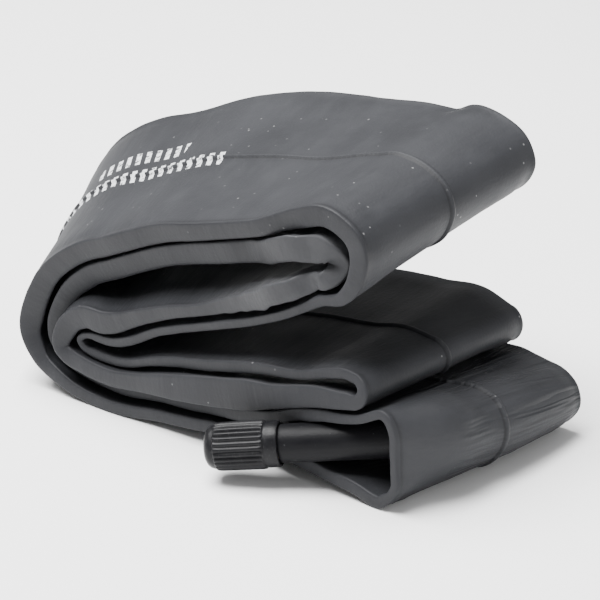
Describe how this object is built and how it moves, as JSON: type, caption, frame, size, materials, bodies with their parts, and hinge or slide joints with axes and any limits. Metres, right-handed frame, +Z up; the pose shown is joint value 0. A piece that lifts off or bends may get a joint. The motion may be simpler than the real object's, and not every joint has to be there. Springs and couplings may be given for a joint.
{
  "type": "bicycle inner tube",
  "caption": "Small bicycle inner tube, let down, pressed flat and folded into a bundle, with a rubber covered car type valve, its core and a screwed dust cap.",
  "frame": {"origin": "on the surface the bundle lies on, under the middle of its box", "axes": "+X along the runs towards the folds over the valve, +Y across the band away from the valve's tip, +Z up"},
  "size_m": [0.1414, 0.0698, 0.0662],
  "materials": {
    "tube_rubber": "matte, with traces of talc",
    "moulded_rubber": "satin, moulded",
    "seal_rubber": "matte",
    "brass": "turned",
    "spring_steel": "drawn wire",
    "cap_plastic": "satin, ribbed"
  },
  "bodies": {
    "tube": {"tube_body": "tube_rubber", "valve_patch": "moulded_rubber", "valve_cover": "moulded_rubber", "valve_insert": "brass", "core_plug": "brass", "core_barrel": "brass", "core_gasket": "seal_rubber", "core_spring": "spring_steel"},
    "pin": {"core_pin": "spring_steel", "core_cup": "brass", "core_seal": "seal_rubber"},
    "cap_lift": {"cap_seal": "seal_rubber"},
    "cap": {"dust_cap": "cap_plastic"}
  },
  "joints": [
    {"name": "cap_lift", "type": "slide", "parent": "tube", "child": "cap_lift", "axis": [-0.8545, -0.5027, -0.1307], "range_m": [0, 0.0112]},
    {"name": "cap_turn", "type": "hinge", "parent": "cap_lift", "child": "cap", "pos_m": [0.0657, -0.0069, 0.0132], "axis": [-0.8545, -0.5027, -0.1307], "range_deg": [0, 5078]},
    {"name": "core_press", "type": "slide", "parent": "tube", "child": "pin", "axis": [0.8545, 0.5027, 0.1307], "range_m": [0, 0.0015], "stiffness_N_per_m": 600, "springref_m": -0.002, "deforming": ["core_spring"]}
  ],
  "couplings": [
    {"joint": "cap_turn", "follows": "cap_lift", "rad_per_m": 7913.3}
  ]
}
